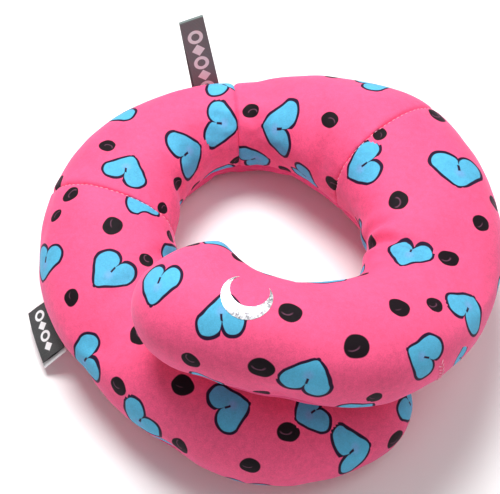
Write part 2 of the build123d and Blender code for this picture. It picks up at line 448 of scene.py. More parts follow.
def shapeCover(tube):
    mesh = tube.data
    points, normals = readPoints(mesh), readNormals(mesh)
    wrap, around = (readValues(mesh, name) for name in ("wrap", "around"))
    radius = np.hypot(points[:, 0], points[:, 1]) / mm
    push = np.zeros(len(points))
    for fold in creases:
        centre = fold["wrap"] + fold["slant"] * (around - fold["around"])
        across = np.radians(wrap - centre) * radius
        along = around - fold["around"]
        fade = np.clip(1 - (along / fold["reach"]) ** 2, 0, 1) ** 1.5
        push -= fold["depth"] * fade * np.exp(-(across / fold["width"]) ** 2)
        beyond = (np.abs(across) - 2.2 * fold["width"]) / fold["width"]
        push += fold["depth"] * 0.35 * fade * np.exp(-beyond ** 2)
    lumps = np.array([
        0.55 * noise.noise(Vector(p) * 34) + 0.28 * noise.noise(Vector(p) * 85 + Vector((7, 3, 1)))
        for p in points
    ])
    push += lumps
    # cloth gathers in short ripples beside each seam
    onCloth = list(zip(np.radians(wrap) * radius, around))
    rippleAlong = np.array([noise.noise(Vector((a / 5.5, b / 13, 2.0))) for a, b in onCloth])
    rippleAround = np.array([noise.noise(Vector((b / 5.5, a / 13, 9.0))) for a, b in onCloth])
    for place in (-cover["leftSeam"], cover["rightSeam"], 0):
        beside = np.abs(np.radians(wrap - place)) * radius
        push += (0.9 if place else 0.3) * rippleAround * np.exp(-beside / 7) * (1 - np.exp(-beside / 1.5))
    push += 0.5 * rippleAlong * np.exp(-readValues(mesh, "sideSeam") / 7)
    ground = smooth(points[:, 2], 0.0, 8 * mm)
    points += normals * (push * mm * ground)[:, None]
    # the upper arm's underside hangs onto the arm below
    over = smooth(wrap, 120, 155) * smooth(-normals[:, 2], 0.0, 0.8)
    points[:, 2] -= over * cover["sag"] * mm
    points[:, 2] = np.maximum(points[:, 2], 0.0)
    writePoints(mesh, points)


def markSideSeams(tube):
    # mm from the nearer side seam, kept on the mesh before it is subdivided
    mesh = tube.data
    angles, topCount = columnAngles()
    columns = len(angles)
    points = readPoints(mesh)[:-2].reshape(-1, columns, 3)
    steps = np.linalg.norm(np.roll(points, -1, axis=1) - points, axis=2) / mm
    length = np.concatenate([np.zeros((len(points), 1)), np.cumsum(steps, axis=1)], axis=1)
    here, whole, mid = length[:, :-1], length[:, -1:], length[:, topCount:topCount + 1]
    distance = np.minimum(np.minimum(here, whole - here), np.abs(here - mid))
    values = np.append(distance.reshape(-1), [30, 30]).astype(np.float32)
    mesh.attributes.new("sideSeam", "FLOAT", "POINT").data.foreach_set("value", values)


markSideSeams(tube)
inner = tube.copy()
inner.data = tube.data.copy()

# a seam stays a sharp valley when the cover is subdivided
seamValues = readValues(tube.data, "seam")
creaseEdges = tube.data.attributes.new("crease_edge", "FLOAT", "EDGE")
sharp = [0.85 if min(seamValues[i] for i in e.vertices) > 0.5 else 0.0 for e in tube.data.edges]
creaseEdges.data.foreach_set("value", sharp)
alone(tube)
subdivide = tube.modifiers.new("finer", "SUBSURF")
subdivide.levels = subdivide.render_levels = cover["rounds"]
bpy.ops.object.modifier_apply(modifier="finer")
shapeCover(tube)
print("cover shaped:", len(tube.data.polygons), "faces")

# The print: hearts and dots stamped on each panel
# hearts: degrees round the neck, mm from the top line towards the neck, turn, width and length in mm
# dots: the same, with one size

prints = dict(
    backPanelLeft=dict(
        hearts=[(-35, -30, 20, 28, 20), (-7, 17, -160, 31, 20), (-26, 27, 180, 33, 20),
                (-54, 5, 168, 28, 20), (-47, 63, 60, 22, 18), (-7, 70, 120, 25, 20),
                (-3, -16, 60, 27, 20), (-16, -56, 60, 28, 22), (-48, -60, -110, 28, 22)],
        dots=[(-49, -15, 80, 10), (-40, 38, 10, 9), (-2, 47, 0, 9), (-31, -62, 40, 10),
              (-64, -40, 0, 10), (-24, 60, 60, 9), (-60, 36, 30, 8)],
    ),
    backPanelRight=dict(
        hearts=[(18, 23, -5, 37, 22), (8, 48, 150, 26, 20), (42, -29, 145, 27, 21),
                (12, -54, 70, 28, 21), (36, 62, 200, 26, 20), (46, -68, 20, 26, 20)],
        dots=[(6, 10, 0, 10), (39, 16, 10, 11), (30, -26, 80, 10), (55, 58, 10, 11),
              (29, -62, 30, 10), (22, 64, 40, 9), (55, -48, 0, 10), (2, -34, 60, 9)],
    ),
    leftArmPanel=dict(
        hearts=[(-66, 25, -90, 24, 20), (-92, -42, 30, 28, 22), (-105, -1, 67, 25, 24),
                (-124, -43, 117, 28, 24), (-146, -48, 118, 29, 23), (-170, -13, -16, 27, 21),
                (-175, -72, 60, 28, 20), (-191, -12, 170, 25, 20), (-199, -37, 6, 34, 21),
                (-218, -30, 90, 25, 20), (-76, -62, 150, 26, 21), (-96, 48, 200, 26, 20),
                (-120, 36, 200, 26, 20), (-148, 24, 60, 26, 20), (-136, 62, 120, 25, 20),
                (-172, 34, 250, 26, 20), (-207, 14, 30, 25, 20), (-196, 56, 90, 25, 20),
                (-152, -80, 0, 24, 18)],
        dots=[(-71, -24, 30, 11), (-78, -32, 40, 8), (-85, 4, 0, 12), (-103, 21, 0, 9),
              (-68, 60, 80, 9), (-107, -28, 20, 10), (-134, -6, 30, 12), (-138, -36, 10, 11),
              (-155, -12, 0, 12), (-158, -48, 60, 11), (-175, -43, 0, 11), (-129, -64, 0, 10),
              (-184, -22, 10, 12), (-210, -44, 20, 13), (-190, -66, 90, 9), (-97, -66, 10, 10),
              (-110, 62, 60, 10), (-132, 44, 0, 10), (-158, 48, 30, 10), (-186, 36, 80, 10),
              (-80, 44, 0, 9)],
    ),
    rightArmPanel=dict(
        hearts=[(67, 32, -79, 26, 25), (82, -18, -165, 34, 24), (114, 13, -170, 25, 22),
                (107, -60, 100, 30, 22), (149, 38, 60, 27, 20), (124, -31, 8, 29, 23),
                (143, -35, -127, 25, 24), (171, -37, -58, 28, 24), (193, -14, -88, 25, 24),
                (217, -10, 78, 25, 24), (72, -66, 40, 26, 20), (94, 64, 150, 25, 20),
                (126, 54, 20, 25, 20), (177, 44, 200, 25, 20), (206, 36, 110, 25, 20),
                (160, -76, 30, 26, 20), (134, -84, 160, 24, 20), (195, -70, 20, 24, 19),
                (92, -76, 0, 24, 20)],
        dots=[(62, -31, 80, 13), (89, -43, 70, 11), (97, -27, 40, 11), (90, 21, 10, 13),
              (111, -9, 50, 12), (61, 12, 30, 9), (82, 66, 0, 9), (173, -1, 10, 12),
              (141, -6, 20, 12), (131, -15, 20, 10), (158, -18, 0, 14), (131, -64, 30, 10),
              (182, -35, 10, 13), (191, 31, 90, 9), (200, -46, 40, 10), (182, -62, 80, 10),
              (105, 44, 20, 10), (132, 36, 0, 9), (163, 54, 50, 10), (114, -84, 0, 10),
              (216, 24, 0, 9), (157, -52, 40, 9)],
    ),
)


def stampCloth(mesh, stamps):
    # each face takes the coordinates of the stamp nearest to it, laid flat on the cloth there
    points, normals = readPoints(mesh), readNormals(mesh)
    wrap, around = readValues(mesh, "wrap"), readValues(mesh, "around")
    radius = np.hypot(points[:, 0], points[:, 1]) / mm
    marks = [(0, w, a, turn, width, length) for w, a, turn, width, length in stamps["hearts"]]
    marks += [(1, w, a, turn, size, size) for w, a, turn, size in stamps["dots"]]
    corner = np.empty(len(mesh.loops), np.int64)
    mesh.loops.foreach_get("vertex_index", corner)
    total = np.empty(len(mesh.polygons), np.int64)
    mesh.polygons.foreach_get("loop_total", total)
    face = np.repeat(np.arange(len(total)), total)
    reach, places = [], []
    for kind, w, a, turn, width, length in marks:
        near = int(np.argmin(np.hypot(np.radians(wrap - w) * radius, around - a)))
        up = normals[near]
        along = np.array([math.cos(math.radians(w)), -math.sin(math.radians(w)), 0.0])
        along -= up * (along @ up)
        along /= np.linalg.norm(along)
        inward = np.cross(along, up)
        away = (points - points[near]) / mm
        x, y = away @ along, away @ inward
        far = np.linalg.norm(away, axis=1)
        stretch = np.clip(far / np.maximum(np.hypot(x, y), 1e-6), 1, 2)
        turn = math.radians(turn)
        nominal = (24.0, 19.5) if kind == 0 else (10.0, 10.0)
        sideways = (-x * math.sin(turn) + y * math.cos(turn)) * stretch * nominal[0] / width
        upward = (x * math.cos(turn) + y * math.sin(turn)) * stretch * nominal[1] / length
        places.append((sideways, upward))
        reach.append(np.bincount(face, far[corner]) / total - (width + length) / 4)
    nearest = np.argmin(np.array(reach), axis=0)[face]
    places = np.array(places)
    stamp = places[nearest, :, corner]
    kinds = np.stack([np.array([mark[0] for mark in marks], float)[nearest], (nearest * 0.37) % 1.0], axis=1)
    for name, pairs in (("stamp", stamp), ("stampKind", kinds)):
        layer = mesh.uv_layers.new(name=name)
        layer.data.foreach_set("uv", pairs.astype(np.float32).reshape(-1))


printLook = dict(
    # the undersides' pink is darker than the top pink: painted shade for the lower halves of the tube, which
    # face away from the light
    pink=paint(244, 88, 134), shadedUndersidePink=paint(230, 64, 118),
    blue=paint(84, 178, 216), lilac=paint(128, 165, 222), outline=paint(34, 8, 44), dot=paint(12, 0, 8),
    streak=paint(150, 90, 120),
    heartTip=8.8, lobeOut=5.5, lobeUp=3.0, lobeSize=6.5, tipSize=0.9,   # mm
    line=0.72,            # half the outline's width
)


def makePrintGroup():
    look = printLook
    tree, w, inputs, outputs = newGroup("heartPrint", [
        ("Cloth", "NodeSocketColor", look["pink"]),
    ], [("Color", "NodeSocketColor"), ("Ink", "NodeSocketFloat")])
    place = w.add("ShaderNodeUVMap", uv_map="stamp").outputs[0]
    kind, seed, _ = w.split(w.add("ShaderNodeUVMap", uv_map="stampKind").outputs[0])
    x, y, _ = w.split(place)
    wobble = w.speckle(w.join(x, y, w.times(seed, 60.0)), 0.10, 1.0)
    drift = w.vector("SCALE", w.vector("SUBTRACT", wobble.outputs["Color"], (0.5, 0.5, 0.5)), scale=2.4)
    drawn = w.vector("ADD", place, drift)
    x, y, _ = w.split(drawn)
    uneven = w.times(w.minus(seed, 0.5), w.times(w.maths("SIGN", x), 2.6))
    lobe = w.join(look["lobeOut"], w.plus(look["heartTip"] + look["lobeUp"], uneven))
    here = w.join(w.maths("ABSOLUTE", x), w.plus(y, look["heartTip"]))
    along, whole = (w.vector("DOT_PRODUCT", one, lobe) for one in (here, lobe))
    share = w.maths("DIVIDE", along, whole, clamp=True)
    away = w.vector("LENGTH", w.vector("SUBTRACT", here, w.vector("SCALE", lobe, scale=share)))
    swellOut = w.times(w.maths("POWER", share, 0.62), look["lobeSize"] - look["tipSize"])
    distance = w.minus(w.minus(away, look["tipSize"]), swellOut)
    isHeart = w.mask(kind, 0.45, 0.55)
    thick = w.maths("MULTIPLY_ADD", wobble.outputs[0], 0.7, look["line"] - 0.35)
    line = w.minus(w.maths("ABSOLUTE", w.plus(distance, 0.2)), thick)
    tailSide = w.maths("ABSOLUTE", w.maths("MULTIPLY_ADD", y, 0.22, w.plus(x, -0.5)))
    tailEnd = w.minus(w.maths("ABSOLUTE", w.minus(y, 1.3)), 1.5)
    tail = w.maths("MAXIMUM", w.minus(tailSide, 0.55), tailEnd)
    drawnLine = w.maths("MINIMUM", line, tail)
    heartFill = w.times(w.mask(distance, -0.35, 0.05), isHeart)
    heartLine = w.times(w.mask(drawnLine, -0.18, 0.22), isHeart)
    fromBlotch = w.vector("LENGTH", w.vector("SUBTRACT", place, (0.8, -1.5, 0.0)))
    blotch = w.times(w.mask(fromBlotch, 0.4, 3.6), 0.5)
    isDot = w.minus(1.0, isHeart)
    round_ = w.vector("LENGTH", w.vector("MULTIPLY", drawn, (1 / 4.6, 1 / 5.3, 0.0)))
    dotMask = w.times(w.mask(round_, 0.93, 1.03), isDot)
    offset = w.vector("MULTIPLY", w.vector("SUBTRACT", drawn, (0.9, 1.2, 0.0)), (1 / 2.0, 1 / 2.7, 0.0))
    ringed = w.maths("ABSOLUTE", w.minus(w.vector("LENGTH", offset), 1.0))
    streak = w.times(w.mask(ringed, 0.05, 0.22), w.mask(w.plus(x, w.times(seed, 2.4)), 0.6, 2.0))
    colour = w.mix(heartFill, inputs["Cloth"], w.mix(blotch, look["blue"], look["lilac"]))
    colour = w.mix(heartLine, colour, look["outline"])
    dotColour = w.mix(w.times(streak, 0.4), look["dot"], look["streak"])
    colour = w.mix(dotMask, colour, dotColour)
    w.feed(outputs["Color"], colour)
    w.feed(outputs["Ink"], w.maths("MAXIMUM", w.maths("MAXIMUM", heartFill, heartLine), dotMask))
    return tree


def makeVelourGroup():
    tree, w, inputs, outputs = newGroup("velour", [
        ("Color", "NodeSocketColor", (1, 1, 1, 1)),
        ("Mottle", "NodeSocketFloat", 0.10),
    ], [("Color", "NodeSocketColor"), ("Height", "NodeSocketFloat"), ("Roughness", "NodeSocketFloat")])
    place = w.add("ShaderNodeTexCoord").outputs["Object"]
    pile = w.speckle(place, 1500.0, 2.0, 0.6).outputs[0]
    clump = w.speckle(place, 320.0, 3.0, 0.6).outputs[0]
    patch = w.speckle(place, 28.0, 2.0, 0.5).outputs[0]
    shade = w.plus(w.minus(pile, 0.5), w.times(w.minus(clump, 0.5), 0.8))
    shade = w.plus(shade, w.times(w.minus(patch, 0.5), 0.7))
    gain = w.maths("MULTIPLY_ADD", shade, w.times(inputs["Mottle"], 4.0), 1.0)
    w.feed(outputs["Color"], w.mix(1.0, inputs["Color"], w.join(gain, gain, gain), "MULTIPLY"))
    w.feed(outputs["Height"], w.plus(w.times(pile, 0.5), w.times(clump, 0.7)))
    w.feed(outputs["Roughness"], w.maths("MULTIPLY_ADD", clump, 0.18, 0.62))
    return tree


velour = makeVelourGroup()
heartPrint = makePrintGroup()


def clothMaterial(name, colour, printed, sheen):
    material, w, shader = newMaterial(name)
    base, nappy = colour, sheen
    if printed:
        stamped = useGroup(w, heartPrint, Cloth=colour)
        base = stamped["Color"]
        nappy = w.maths("MULTIPLY_ADD", stamped["Ink"], -0.75 * sheen, sheen)
    nap = useGroup(w, velour, Color=base, Mottle=0.12)
    w.feed(shader["Base Color"], nap["Color"])
    w.feed(shader["Roughness"], nap["Roughness"])
    w.feed(shader["Normal"], bumped(w, nap["Height"], 0.35 * mm, 0.5))
    w.feed(shader["Sheen Weight"], nappy)
    shader["Sheen Roughness"].default_value = 0.45
    shader["Sheen Tint"].default_value = paint(255, 170, 222)
    shader["Specular IOR Level"].default_value = 0.2
    return material


printedVelour = clothMaterial("printedVelour", printLook["pink"], True, 0.32)
# the plain underside panels take the darker pink, which is painted shade on the lower halves of the tube
shadedPlainVelour = clothMaterial("shadedPlainVelour", printLook["shadedUndersidePink"], False, 0.3)

cloths = dict(printed=(printedVelour, "printed_velour"), plain=(shadedPlainVelour, "plain_velour"))
leftArmNodes = dict(panel=["left_arm_panel", "left_tip_panel"], base=["left_arm_base", "left_tip_base"])
rightArmNodes = dict(panel=["right_arm_panel", "right_tip_panel"], base=["right_arm_base", "right_tip_base"])
parts = [
    dict(name="backPanelLeft", cloth="printed", nodes=["back_left_panel"], bend="leftShoulder"),
    dict(name="backPanelRight", cloth="printed", nodes=["back_right_panel"], bend="rightShoulder"),
    dict(name="leftArmPanel", cloth="printed", nodes=leftArmNodes["panel"], bend="leftBend"),
    dict(name="rightArmPanel", cloth="printed", nodes=rightArmNodes["panel"], bend="rightBend"),
    dict(name="backBaseLeft", cloth="plain", nodes=["back_base"], bend="leftShoulder"),
    dict(name="backBaseRight", cloth="plain", nodes=["back_base"], bend="rightShoulder"),
    dict(name="leftArmBase", cloth="plain", nodes=leftArmNodes["base"], bend="leftBend"),
    dict(name="rightArmBase", cloth="plain", nodes=rightArmNodes["base"], bend="rightBend"),
]
# the body before and after each bend, the wrap it centres on, and the mm over which it turns
bends = dict(
    leftShoulder=("back", "left_arm", -66, -52, 0),
    rightShoulder=("back", "right_arm", 58, -46, 0),
    leftBend=("left_arm", "left_tip", -126, -42, 40),
    rightBend=("right_arm", "right_tip", 118, -38, 28),
)


def bendPiece(piece, name):
    before, after, wrap, first, last = bends[name]
    side = -1 if wrap < 0 else 1
    turn = math.radians(abs(wrap))
    along = Vector((side * math.cos(turn), -math.sin(turn), 0))
    middle = Vector((side * math.sin(turn), math.cos(turn), 0)) * cover["ring"] * mm
    start, end = (tuple(middle + along * reach * mm) for reach in (first, last))
    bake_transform(piece)
    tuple(start)
    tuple(end)


def partByMaterial(thing, count):
    markers = [bpy.data.materials.new(f"part{index}") for index in range(count)]
    for marker in markers:
        thing.data.materials.append(marker)
    alone(thing)
    before = set(bpy.data.objects)
    bpy.ops.object.mode_set(mode="EDIT")
    bpy.ops.mesh.separate(type="MATERIAL")
    bpy.ops.object.mode_set(mode="OBJECT")
    made = [thing] + [o for o in bpy.data.objects if o not in before]
    found = {}
    for piece in made:
        slots = piece.data.materials
        index = piece.data.polygons[0].material_index
        found[slots[min(index, len(slots) - 1)].name] = piece
    return [found[marker.name] for marker in markers]


def finishCover(tube):
    # the whole outside, for the trims to land on
    faces = [tuple(p.vertices) for p in tube.data.polygons]
    tree = BVHTree.FromPolygons([tuple(p) for p in readPoints(tube.data)], faces)
    for piece, facts in zip(partByMaterial(tube, 8), parts):
        piece.name = facts["name"]
        mesh = piece.data
        look, slot = cloths[facts["cloth"]]
        if piece.name in prints:
            stampCloth(mesh, prints[piece.name])
        mesh.materials.clear()
        mesh.materials.append(look)
        mesh.polygons.foreach_set("material_index", [0] * len(mesh.polygons))
        alone(piece)
        wall = piece.modifiers.new("cloth", "SOLIDIFY")
        wall.thickness = 0.8 * mm
        wall.offset = -1
        bpy.ops.object.modifier_apply(modifier="cloth")
        bpy.ops.object.shade_smooth_by_angle(angle=math.radians(50))
        bendPiece(piece, facts["bend"])
        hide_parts(*facts["nodes"])
        print("cover piece", piece.name, len(mesh.polygons), "faces")
    return tree


coverTree = finishCover(tube)

# The filling: closed bodies a little inside the cover

filling = dict(inset=4.5)


def makeFilling(inner):
    bpy.context.collection.objects.link(inner)
    mesh = inner.data
    points = readPoints(mesh)
    wrap = readValues(mesh, "wrap")
    sections = {float(w): sectionAt(float(w)) for w in set(wrap)}
    for index, value in enumerate(wrap):
        centre, height, _, _ = sections[float(value)]
        turn = math.radians(value)
        middle = np.array([math.sin(turn) * centre, math.cos(turn) * centre, height]) * mm
        away = points[index] - middle
        size = np.linalg.norm(away)
        points[index] = middle + away * max(size - filling["inset"] * mm, 0.2 * mm) / max(size, 1e-9)
    points[:, 2] = np.maximum(points[:, 2], filling["inset"] * mm)
    writePoints(mesh, points)
    ends = np.where(wrap < 0, wrap < -cover["leftEnd"] + 5, wrap > cover["rightEnd"] - 5)
    for polygon in mesh.polygons:
        polygon.material_index %= 4
    work = bmesh.new()
    work.from_mesh(mesh)
    work.verts.ensure_lookup_table()
    bmesh.ops.delete(work, geom=[work.verts[int(i)] for i in np.nonzero(ends)[0]], context="VERTS")
    work.to_mesh(mesh)
    work.free()
    names = ["backFillLeft", "backFillRight", "leftArmFill", "rightArmFill"]
    armNodes = [["left_arm_fill", "left_tip_fill"], ["right_arm_fill", "right_tip_fill"]]
    nodes = [["back_fill"], ["back_fill"], *armNodes]
    turns = ["leftShoulder", "rightShoulder", "leftBend", "rightBend"]
    pieces = partByMaterial(inner, 4)
    material, w, shader = newMaterial("fibreFill")
    nap = useGroup(w, velour, Color=paint(240, 238, 232), Mottle=0.12)
    w.feed(shader["Base Color"], nap["Color"])
    w.feed(shader["Roughness"], nap["Roughness"])
    w.feed(shader["Normal"], bumped(w, nap["Height"], 0.8 * mm, 0.8))
    for piece, name, cad, turn in zip(pieces, names, nodes, turns):
        piece.name = name
        alone(piece)
        bpy.ops.object.mode_set(mode="EDIT")
        bpy.ops.mesh.select_all(action="SELECT")
        bpy.ops.mesh.fill_holes(sides=0)
        bpy.ops.mesh.select_all(action="SELECT")
        bpy.ops.mesh.normals_make_consistent(inside=False)
        bpy.ops.object.mode_set(mode="OBJECT")
        piece.data.materials.clear()
        piece.data.materials.append(material)
        piece.data.polygons.foreach_set("material_index", [0] * len(piece.data.polygons))
        bpy.ops.object.shade_smooth()
        bendPiece(piece, turn)
        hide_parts(*cad)


makeFilling(inner)
print("filling made")

# Trims: hang loop, labels, foil moon and closing stitches


def nodeAxes(name):
    # centre, and the long, wide and thin axes with their lengths, of a CAD node
    points = readPoints(frame["nodes"][name].data)
    _, turns = np.linalg.eigh(np.cov((points - points.mean(axis=0)).T))
    axes = [turns[:, 2], turns[:, 1], turns[:, 0]]
    spans = [points @ axis for axis in axes]
    sizes = [float(span.max() - span.min()) for span in spans]
    centre = sum(axis * (span.max() + span.min()) / 2 for axis, span in zip(axes, spans))
    return centre, axes, sizes


def facing(axis, toward):
    return axis if float(np.dot(axis, toward)) > 0 else -axis


def gridSheet(name, lengthSteps, widthSteps, shape, uv):
    # a flat grid bent to shape(t, s) with t and s from 0 to 1, and its own UV in mm
    bpy.ops.object.select_all(action="DESELECT")
    bpy.ops.mesh.primitive_grid_add(x_subdivisions=lengthSteps, y_subdivisions=widthSteps, size=1)
    piece = bpy.context.active_object
    piece.name = name
    mesh = piece.data
    flat = readPoints(mesh) + np.array([0.5, 0.5, 0])
    layer = mesh.uv_layers[0]
    layer.name = "weave"
    for loop in mesh.loops:
        layer.data[loop.index].uv = uv(*flat[loop.vertex_index][:2])
    writePoints(mesh, [shape(t, s) for t, s, _ in flat])
    return piece


def thicken(piece, thickness):
    alone(piece)
    wall = piece.modifiers.new("wall", "SOLIDIFY")
    wall.thickness = thickness
    wall.offset = 0
    bpy.ops.object.modifier_apply(modifier="wall")
    bpy.ops.object.mode_set(mode="EDIT")
    bpy.ops.mesh.select_all(action="SELECT")
    bpy.ops.mesh.normals_make_consistent(inside=False)
    bpy.ops.object.mode_set(mode="OBJECT")
    bpy.ops.object.shade_smooth_by_angle(angle=math.radians(40))
    return piece


def foldPath(t, length, gap, bulge):
    # up one ply, round the fold and down the other: along, and out of the middle plane
    half = gap / 2
    bend = math.pi * half
    total = 2 * (length - half) + bend
    run = t * total
    if run < length - half:
        return run, half + bulge * math.sin(math.pi * run / length) ** 2
    if run > length - half + bend:
        back = total - run
        return back, -half - bulge * 0.5 * math.sin(math.pi * back / length) ** 2
    angle = (run - (length - half)) / half
    return length - half + half * math.sin(angle), half * math.cos(angle)


hangLoop = dict(ply=0.7, gap=1.5, bulge=0.9, intoSeam=2.0, lean=1.3, rib=0.95, motif=9.5)


def makeHangLoop():
    centre, (long, wide, thin), (length, width, _) = nodeAxes("hang_loop")
    long, wide = facing(long, (0, 0, 1)), facing(wide, (1, 0, 0))
    thin = facing(thin, (0, -1, 0))
    root = centre - long * (length / 2 + hangLoop["intoSeam"] * mm)
    reach = length + hangLoop["intoSeam"] * mm
    total = 2 * reach / mm

    def shape(t, s):
        along, out = foldPath(t, reach, hangLoop["gap"] * mm, hangLoop["bulge"] * mm)
        # the plies are stitched down a little apart, and the fold slants
        shift = hangLoop["lean"] * mm * (1 - along / reach) * (1 if t < 0.5 else -1)
        tilt = (s - 0.5) * 1.6 * mm * (along / reach)
        curve = 0.5 * mm * math.sin(3.0 * along / reach) * (2 * s - 1) ** 2
        return root + long * (along + tilt) + wide * ((s - 0.5) * width + shift) + thin * (out + curve)

    piece = gridSheet("hangLoop", 150, 14, shape, lambda t, s: ((s - 0.5) * width / mm, t * total))
    thicken(piece, hangLoop["ply"] * mm)
    piece.data.materials.append(ribbonMaterial(total / 2))
    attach(piece, "hang_loop")
    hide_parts("hang_loop")
    return piece


def makeMotifGroup():
    # a row of generic rings and diamonds along v
    tree, w, inputs, outputs = newGroup("ringsAndDiamonds", [
        ("Place", "NodeSocketVector", (0, 0, 0)),
        ("Pitch", "NodeSocketFloat", 9.0),
        ("Size", "NodeSocketFloat", 1.0),
    ], [("Mask", "NodeSocketFloat")])
    u, v, _ = w.split(inputs["Place"])
    cell = w.maths("DIVIDE", v, inputs["Pitch"])
    number = w.maths("FLOOR", cell)
    run = w.minus(w.minus(cell, number), 0.5)
    y = w.maths("DIVIDE", w.times(run, inputs["Pitch"]), inputs["Size"])
    x = w.maths("DIVIDE", u, inputs["Size"])
    ring = w.minus(w.maths("ABSOLUTE", w.minus(w.vector("LENGTH", w.join(x, y)), 2.9)), 0.85)
    diamond = w.minus(w.plus(w.maths("ABSOLUTE", x), w.maths("ABSOLUTE", y)), 3.3)
    odd = w.maths("GREATER_THAN", w.maths("FRACT", w.maths("MULTIPLY_ADD", number, 0.5, 0.01)), 0.4)
    pick = w.plus(w.times(ring, w.minus(1.0, odd)), w.times(diamond, odd))
    w.feed(outputs["Mask"], w.mask(pick, -0.12, 0.18))
    return tree


motif = makeMotifGroup()


def makeWeaveGroup():
    tree, w, inputs, outputs = newGroup("ribWeave", [
        ("Place", "NodeSocketVector", (0, 0, 0)),
        ("Rib", "NodeSocketFloat", 0.9),
    ], [("Shade", "NodeSocketFloat"), ("Height", "NodeSocketFloat")])
    u, v, _ = w.split(inputs["Place"])
    turn = w.maths("DIVIDE", 6.2832, inputs["Rib"])
    ribs = w.maths("SINE", w.times(v, turn))
    threads = w.maths("SINE", w.times(u, w.times(turn, 1.6)))
    fuzz = w.speckle(inputs["Place"], 3.1, 3.0, 0.6).outputs[0]
    height = w.maths("MULTIPLY_ADD", w.times(ribs, w.maths("MULTIPLY_ADD", threads, 0.35, 0.65)), 0.5, 0.5)
    w.feed(outputs["Height"], w.plus(height, w.times(fuzz, 0.4)))
    # Shade is lower where the rib is low: painted shade in the grooves between ribs, with random fuzz tone on
    # top
    w.feed(outputs["Shade"], w.plus(w.maths("MULTIPLY_ADD", height, 0.35, 0.62), w.times(fuzz, 0.36)))
    return tree


ribWeave = makeWeaveGroup()


def wovenMaterial(name, ground, ink, rib, low, high, pitch, size, across, shine):
    # ground colour with a woven motif between low and high mm along the piece
    material, w, shader = newMaterial(name)
    place = w.add("ShaderNodeUVMap", uv_map="weave").outputs[0]
    woven = useGroup(w, ribWeave, Place=place, Rib=rib)
    # the weave's Shade darkens the ground colour here and the ink below: painted shade in the rib grooves,
    # with random fuzz tone
    shade = w.join(woven["Shade"], woven["Shade"], woven["Shade"])
    colour = w.mix(1.0, ground, shade, "MULTIPLY")
    if ink is not None:
        u, v, _ = w.split(place)
        axis = w.join(w.minus(v, across), u) if across is not None else w.join(u, v)
        mask = useGroup(w, motif, Place=axis, Pitch=pitch, Size=size)["Mask"]
        run = u if across is not None else v
        inside = w.times(w.mask(run, high, high + 0.1), w.minus(1.0, w.mask(run, low, low + 0.1)))
        if across is not None:
            inside = w.times(inside, w.mask(w.maths("ABSOLUTE", w.minus(v, across)), 6.0, 6.1))
        soft = w.mix(1.0, ink, w.join(*[w.maths("MULTIPLY_ADD", woven["Shade"], 0.35, 0.7)] * 3), "MULTIPLY")
        colour = w.mix(w.times(mask, inside), colour, soft)
    w.feed(shader["Base Color"], colour)
    w.feed(shader["Roughness"], w.maths("MULTIPLY_ADD", woven["Height"], -0.15, shine))
    w.feed(shader["Normal"], bumped(w, woven["Height"], 0.18 * mm, 0.7))
    shader["Sheen Weight"].default_value = 0.1
    return material


def ribbonMaterial(length):
    # grey and white are both tinted towards teal to offset the pink light that the cover bounces onto the
    # ribbon: a painted correction for light, not the ribbon's own neutral grey and white
    grey, white = paint(112, 127, 124), paint(234, 249, 246)
    rib, pitch = hangLoop["rib"], hangLoop["motif"]
    return wovenMaterial("greyRibbon", grey, white, rib, 8.0, length - 8.0, pitch, 1.25, None, 0.75)


labels = dict(
    ply=0.32, gap=0.5, bulge=0.5, intoSeam=1.6, curl=1.3,
    carePly=0.22, careReach=1.2, careShift=2.4,
)


def labelAxes(name):
    centre, (long, wide, thin), (length, width, _) = nodeAxes(name)
    wide = facing(wide, centre * np.array([1, 1, 0]))
    long = facing(long, (0.2, -1, 0))
    return centre, long, wide, facing(thin, (0, 0, 1)), length, width


def makeLabels():
    centre, long, out, up, length, reach = labelAxes("side_label")
    depth = reach + labels["intoSeam"] * mm
    root = centre - out * (reach / 2 + labels["intoSeam"] * mm)

    def curl(s, along):
        return labels["curl"] * mm * (along / depth) ** 2 * math.cos(3.0 * (s - 0.35))

    def shape(t, s):
        along, lift = foldPath(t, depth, labels["gap"] * mm, labels["bulge"] * mm)
        return root + out * along + long * (s - 0.5) * length + up * (lift + curl(s, along))

    total = 2 * depth / mm
    label = gridSheet("sideLabel", 70, 40, shape, lambda t, s: ((s - 0.5) * length / mm, t * total))
    thicken(label, labels["ply"] * mm)
    black, white = paint(30, 30, 32), paint(244, 244, 246)
    across = total * 0.25 + 0.9
    woven = wovenMaterial("blackLabel", black, white, 0.42, -14.0, 14.0, 7.0, 0.92, across, 0.5)
    label.data.materials.append(woven)
    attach(label, "labels")
    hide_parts("side_label")

    careDepth = depth + labels["careReach"] * mm

    def careShape(t, s):
        along = t * careDepth
        drop = -labels["gap"] / 2 * mm - 0.75 * mm - 0.9 * mm * t
        return (root + out * along + long * ((s - 0.5) * length + labels["careShift"] * mm)
                + up * (drop + curl(s, along)))

    def careWeave(t, s):
        return (s - 0.5) * length / mm, t * careDepth / mm

    care = gridSheet("careLabel", 24, 40, careShape, careWeave)
    thicken(care, labels["carePly"] * mm)
    tape = wovenMaterial("careTape", paint(236, 236, 238), None, 0.5, 0, 0, 1, 1, None, 0.7)
    care.data.materials.append(tape)
    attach(care, "labels")
    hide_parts("care_label")


def onCover(x, y, lift):
    # the highest point of the cover at x, y, raised by lift
    hit, normal, _, _ = coverTree.ray_cast(Vector((x, y, 0.3)), Vector((0, 0, -1)))
    return hit + normal * lift


foilMoon = dict(outer=13.0, inner=10.0, bite=4.0, thick=0.16)


